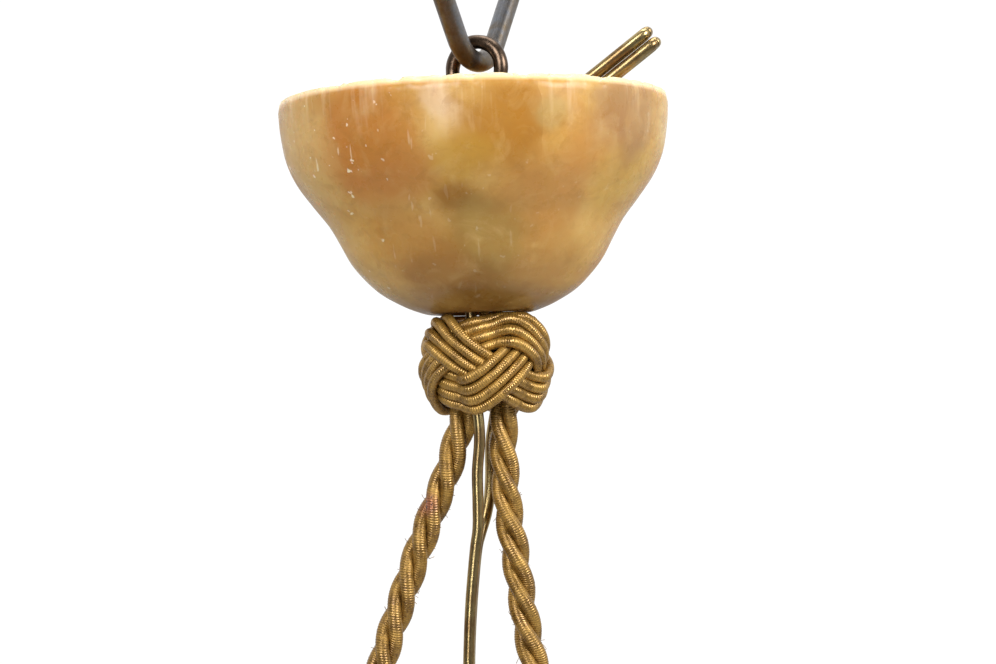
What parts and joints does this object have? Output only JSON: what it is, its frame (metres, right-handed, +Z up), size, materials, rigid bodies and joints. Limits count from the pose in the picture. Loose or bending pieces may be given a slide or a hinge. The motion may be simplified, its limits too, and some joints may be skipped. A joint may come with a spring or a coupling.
{
  "type": "hanging cup ornament",
  "caption": "Small turned onyx cup hung by a ring and cord over a woven knot, with two laid rope tails, a brass wire eye and an open hanger hook.",
  "frame": {"origin": "the hanging point, on the inside of the top of the hanger hook", "axes": "+Z up along the hang, front of the ornament towards -Y, wire eye leaning towards +X"},
  "size_m": [0.0504, 0.0502, 0.1435],
  "materials": {
    "onyx": "polished translucent honey onyx, clouded",
    "gold_gimp": "lustrous thread-wrapped cord",
    "gold_rope": "laid three-strand rope of wrapped cord",
    "whipping_thread": "tight thread winding",
    "brass": "tarnished drawn wire",
    "ring_bronze": "dark oxidised bronze",
    "hook_steel": "drawn wire with brown tarnish",
    "core_wood": "plain turned"
  },
  "bodies": {
    "hook": {"hanger_hook": "hook_steel"},
    "ring": {"hanging_ring": "ring_bronze"},
    "drop": {"suspension_loop": "gold_gimp", "turks_head_knot": "gold_gimp", "knot_core": "core_wood", "rope_bight": "gold_rope", "brass_wire": "brass"},
    "cup": {"stone_cup": "onyx"},
    "left_tail": {"rope_tail_left": "gold_rope", "tail_whipping_left": "whipping_thread", "tail_tuft_left": "gold_rope"},
    "right_tail": {"rope_tail_right": "gold_rope", "tail_whipping_right": "whipping_thread", "tail_tuft_right": "gold_rope"}
  },
  "joints": [
    {"name": "ring_swing", "type": "hinge", "parent": "hook", "child": "ring", "pos_m": [0, 0, -0.02658], "axis": [0.5, 0.866, 0], "range_deg": [-35, 35]},
    {"name": "drop_swing", "type": "hinge", "parent": "ring", "child": "drop", "pos_m": [0, 0, -0.03127], "axis": [0.866, -0.5, 0], "range_deg": [-40, 40]},
    {"name": "cup_turn", "type": "hinge", "parent": "drop", "child": "cup", "pos_m": [-0.0006, 0, -0.03192], "axis": [0, 0, 1], "continuous": true},
    {"name": "left_tail_swing", "type": "hinge", "parent": "drop", "child": "left_tail", "pos_m": [-0.00275, 0, -0.07102], "axis": [0, 1, 0], "range_deg": [-10, 15], "stiffness_Nm_per_rad": 0.001, "springref_deg": 3.44},
    {"name": "right_tail_swing", "type": "hinge", "parent": "drop", "child": "right_tail", "pos_m": [0.0026, 0, -0.07102], "axis": [0, -1, 0], "range_deg": [-1, 15], "stiffness_Nm_per_rad": 0.001, "springref_deg": 1.15}
  ]
}
